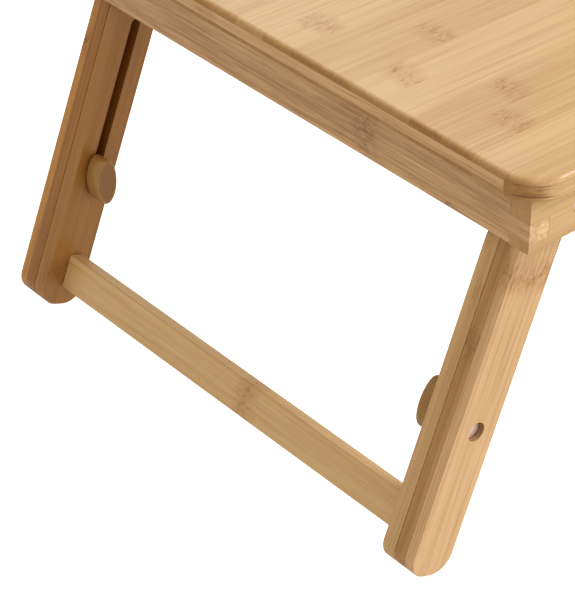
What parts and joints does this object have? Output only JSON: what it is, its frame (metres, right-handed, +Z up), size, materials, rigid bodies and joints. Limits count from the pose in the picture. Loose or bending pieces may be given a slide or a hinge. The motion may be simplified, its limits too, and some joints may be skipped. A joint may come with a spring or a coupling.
{
  "type": "folding tray table",
  "caption": "Low bamboo tray table with a rounded rectangular top on a box-jointed apron and fold-under splayed leg frames whose slotted lower halves slide out and clamp to raise it.",
  "frame": {"origin": "on the floor plane, under the middle of the board, with the legs open and pushed right in", "axes": "+X along the board towards its right end, +Y towards its rear long side, +Z up"},
  "size_m": [0.7336, 0.356, 0.214],
  "materials": {
    "board_bamboo": "light natural bamboo strips, satin lacquer",
    "rail_bamboo": "natural bamboo, satin lacquer, end grain at the box joints",
    "leg_bamboo": "natural bamboo laminated from two strips, satin lacquer",
    "crossbar_bamboo": "natural bamboo, satin lacquer",
    "dowel_wood": "plain turned wood",
    "zinc_steel": "zinc-plated steel, satin",
    "insert_brass": "plain turned brass",
    "knob_plastic": "tan moulded plastic, satin"
  },
  "bodies": {
    "root": {"board": "board_bamboo", "front_rail": "rail_bamboo", "rear_rail": "rail_bamboo", "left_rail": "rail_bamboo", "right_rail": "rail_bamboo", "dowel_front_left": "dowel_wood", "dowel_front_middle": "dowel_wood", "dowel_front_right": "dowel_wood", "dowel_rear_left": "dowel_wood", "dowel_rear_middle": "dowel_wood", "dowel_rear_right": "dowel_wood", "dowel_left_end": "dowel_wood", "dowel_right_end": "dowel_wood", "left_front_pivot_bolt": "zinc_steel", "left_front_pivot_washer": "zinc_steel", "left_front_pivot_nut": "zinc_steel", "left_rear_pivot_bolt": "zinc_steel", "left_rear_pivot_washer": "zinc_steel", "left_rear_pivot_nut": "zinc_steel", "right_front_pivot_bolt": "zinc_steel", "right_front_pivot_washer": "zinc_steel", "right_front_pivot_nut": "zinc_steel", "right_rear_pivot_bolt": "zinc_steel", "right_rear_pivot_washer": "zinc_steel", "right_rear_pivot_nut": "zinc_steel"},
    "left_upper_leg": {"left_front_upper_slat": "leg_bamboo", "left_front_clamp_bolt": "zinc_steel", "left_front_knob_washer": "zinc_steel", "left_rear_upper_slat": "leg_bamboo", "left_rear_clamp_bolt": "zinc_steel", "left_rear_knob_washer": "zinc_steel"},
    "left_lower_leg": {"left_crossbar": "crossbar_bamboo", "left_front_lower_slat": "leg_bamboo", "left_rear_lower_slat": "leg_bamboo"},
    "left_front_knob": {"left_front_knob": "knob_plastic", "left_front_knob_insert": "insert_brass"},
    "left_rear_knob": {"left_rear_knob": "knob_plastic", "left_rear_knob_insert": "insert_brass"},
    "right_upper_leg": {"right_front_upper_slat": "leg_bamboo", "right_front_clamp_bolt": "zinc_steel", "right_front_knob_washer": "zinc_steel", "right_rear_upper_slat": "leg_bamboo", "right_rear_clamp_bolt": "zinc_steel", "right_rear_knob_washer": "zinc_steel"},
    "right_lower_leg": {"right_crossbar": "crossbar_bamboo", "right_front_lower_slat": "leg_bamboo", "right_rear_lower_slat": "leg_bamboo"},
    "right_front_knob": {"right_front_knob": "knob_plastic", "right_front_knob_insert": "insert_brass"},
    "right_rear_knob": {"right_rear_knob": "knob_plastic", "right_rear_knob_insert": "insert_brass"}
  },
  "joints": [
    {"name": "left_leg_fold", "type": "hinge", "parent": "root", "child": "left_upper_leg", "pos_m": [-0.28596, 0, 0.18788], "axis": [0, -1, 0], "range_deg": [0, 111]},
    {"name": "left_leg_extend", "type": "slide", "parent": "left_upper_leg", "child": "left_lower_leg", "axis": [-0.3584, 0, -0.9336], "range_m": [0, 0.084]},
    {"name": "left_front_knob_turn", "type": "hinge", "parent": "left_upper_leg", "child": "left_front_knob", "pos_m": [-0.32968, -0.1349, 0.07398], "axis": [0, 1, 0], "continuous": true},
    {"name": "left_rear_knob_turn", "type": "hinge", "parent": "left_upper_leg", "child": "left_rear_knob", "pos_m": [-0.32968, 0.1349, 0.07398], "axis": [0, 1, 0], "continuous": true},
    {"name": "right_leg_fold", "type": "hinge", "parent": "root", "child": "right_upper_leg", "pos_m": [0.28596, 0, 0.18788], "axis": [0, 1, 0], "range_deg": [0, 111]},
    {"name": "right_leg_extend", "type": "slide", "parent": "right_upper_leg", "child": "right_lower_leg", "axis": [0.3584, 0, -0.9336], "range_m": [0, 0.084]},
    {"name": "right_front_knob_turn", "type": "hinge", "parent": "right_upper_leg", "child": "right_front_knob", "pos_m": [0.32968, -0.1349, 0.07398], "axis": [0, 1, 0], "continuous": true},
    {"name": "right_rear_knob_turn", "type": "hinge", "parent": "right_upper_leg", "child": "right_rear_knob", "pos_m": [0.32968, 0.1349, 0.07398], "axis": [0, 1, 0], "continuous": true}
  ]
}
